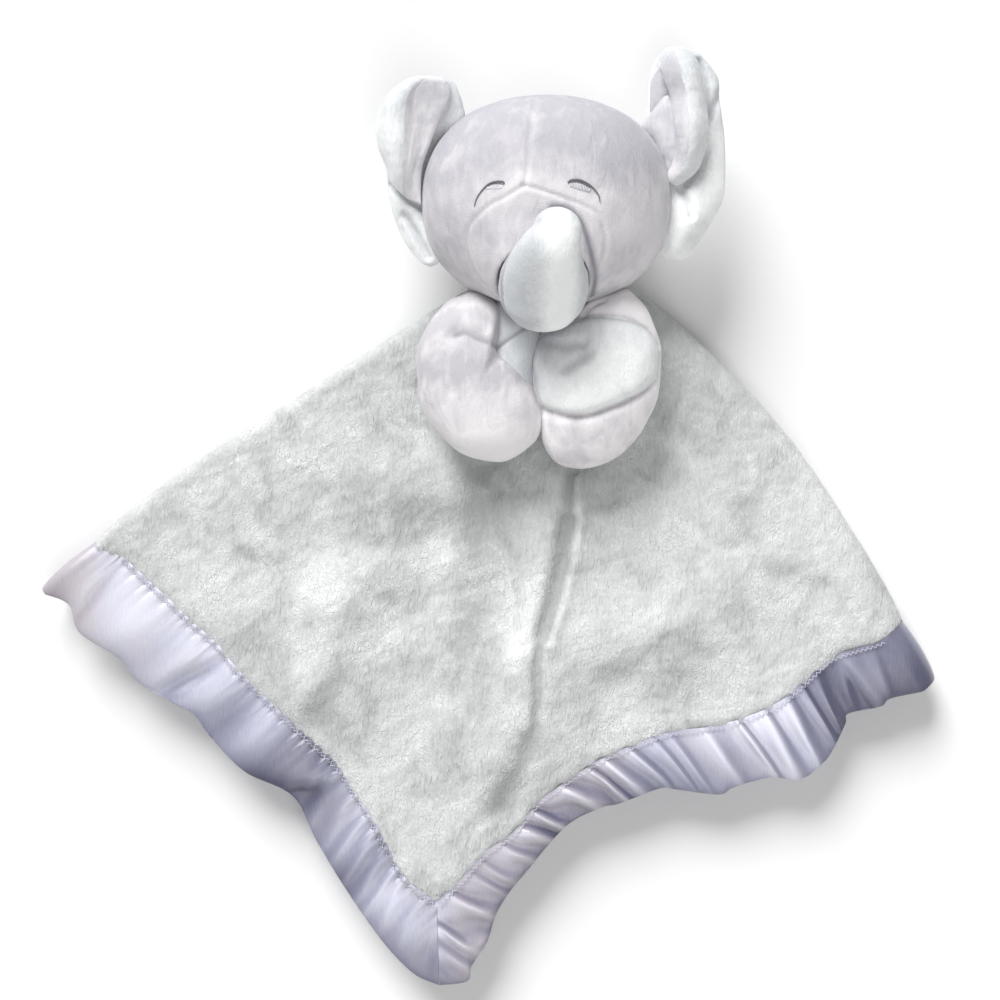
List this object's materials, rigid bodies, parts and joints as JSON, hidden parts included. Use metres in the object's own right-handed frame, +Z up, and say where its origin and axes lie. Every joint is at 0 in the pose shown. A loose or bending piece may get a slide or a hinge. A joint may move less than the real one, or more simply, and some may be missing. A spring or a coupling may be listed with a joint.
{
  "type": "comfort blanket lovey",
  "caption": "Stuffed elephant head with a curled trunk, cupped ears and hugging arms, sewn to a satin-bound plush comfort blanket folded in quarters.",
  "frame": {"origin": "on the table, under the middle of the folded blanket, in the blanket's resting face", "axes": "+Z up from the table to the toy's face, +Y from the blanket's loose corner to the top of the head, +X to the right of someone who looks down at the face"},
  "size_m": [0.3025, 0.3157, 0.0776],
  "materials": {
    "plush": "brushed short-pile plush, pale grey with a slight mint tint",
    "backing": "plain knit inner layer, pale grey",
    "satin": "lavender satin binding with a soft gloss",
    "velour": "short velour, pinkish lavender grey",
    "thread": "dark grey embroidery thread",
    "fibrefill": "white polyester fibrefill"
  },
  "bodies": {
    "blanket": {"blanket_face": "plush", "blanket_backing": "backing", "binding_right": "satin", "binding_left": "satin", "binding_under_right": "satin", "binding_under_left": "satin"},
    "neck": {"neck": "velour"},
    "head": {"head_side_left": "velour", "head_side_right": "velour", "head_muzzle": "velour", "head_filling": "fibrefill", "eye_left": "thread", "eye_right": "thread"},
    "trunk": {"trunk_underside": "plush", "trunk_outer": "velour", "trunk_filling": "fibrefill"},
    "ear_left": {"ear_left_front": "velour", "ear_left_back": "plush"},
    "ear_right": {"ear_right_front": "velour", "ear_right_back": "plush"},
    "arm_left": {"arm_left_outer": "velour", "arm_left_palm": "plush", "arm_left_filling": "fibrefill"},
    "arm_right": {"arm_right_outer": "velour", "arm_right_palm": "plush", "arm_right_filling": "fibrefill"}
  },
  "joints": [
    {"name": "head_nod", "type": "hinge", "parent": "blanket", "child": "neck", "pos_m": [0.0155, 0.0695, 0.0093], "axis": [1, 0, 0], "range_deg": [-60, 3], "stiffness_Nm_per_rad": 0.1},
    {"name": "head_tilt", "type": "hinge", "parent": "neck", "child": "head", "pos_m": [0.0155, 0.0695, 0.0093], "axis": [0, 0, 1], "range_deg": [-6, 6], "stiffness_Nm_per_rad": 0.1},
    {"name": "trunk_lift", "type": "hinge", "parent": "head", "child": "trunk", "pos_m": [0.012, 0.0685, 0.0538], "axis": [1, 0, 0], "range_deg": [0, 80], "stiffness_Nm_per_rad": 0.01},
    {"name": "ear_left_fold", "type": "hinge", "parent": "head", "child": "ear_left", "pos_m": [-0.02, 0.0995, 0.0303], "axis": [0, 1, 0], "range_deg": [-12, 30], "stiffness_Nm_per_rad": 0.01},
    {"name": "ear_right_fold", "type": "hinge", "parent": "head", "child": "ear_right", "pos_m": [0.051, 0.0995, 0.0303], "axis": [0, -1, 0], "range_deg": [-12, 30], "stiffness_Nm_per_rad": 0.01},
    {"name": "arm_left_open", "type": "hinge", "parent": "blanket", "child": "arm_left", "pos_m": [-0.0045, 0.057, 0.0228], "axis": [0, 0, -1], "range_deg": [0, 40], "stiffness_Nm_per_rad": 0.01},
    {"name": "arm_right_open", "type": "hinge", "parent": "blanket", "child": "arm_right", "pos_m": [0.041, 0.061, 0.0228], "axis": [0, 0, 1], "range_deg": [0, 40], "stiffness_Nm_per_rad": 0.01}
  ]
}
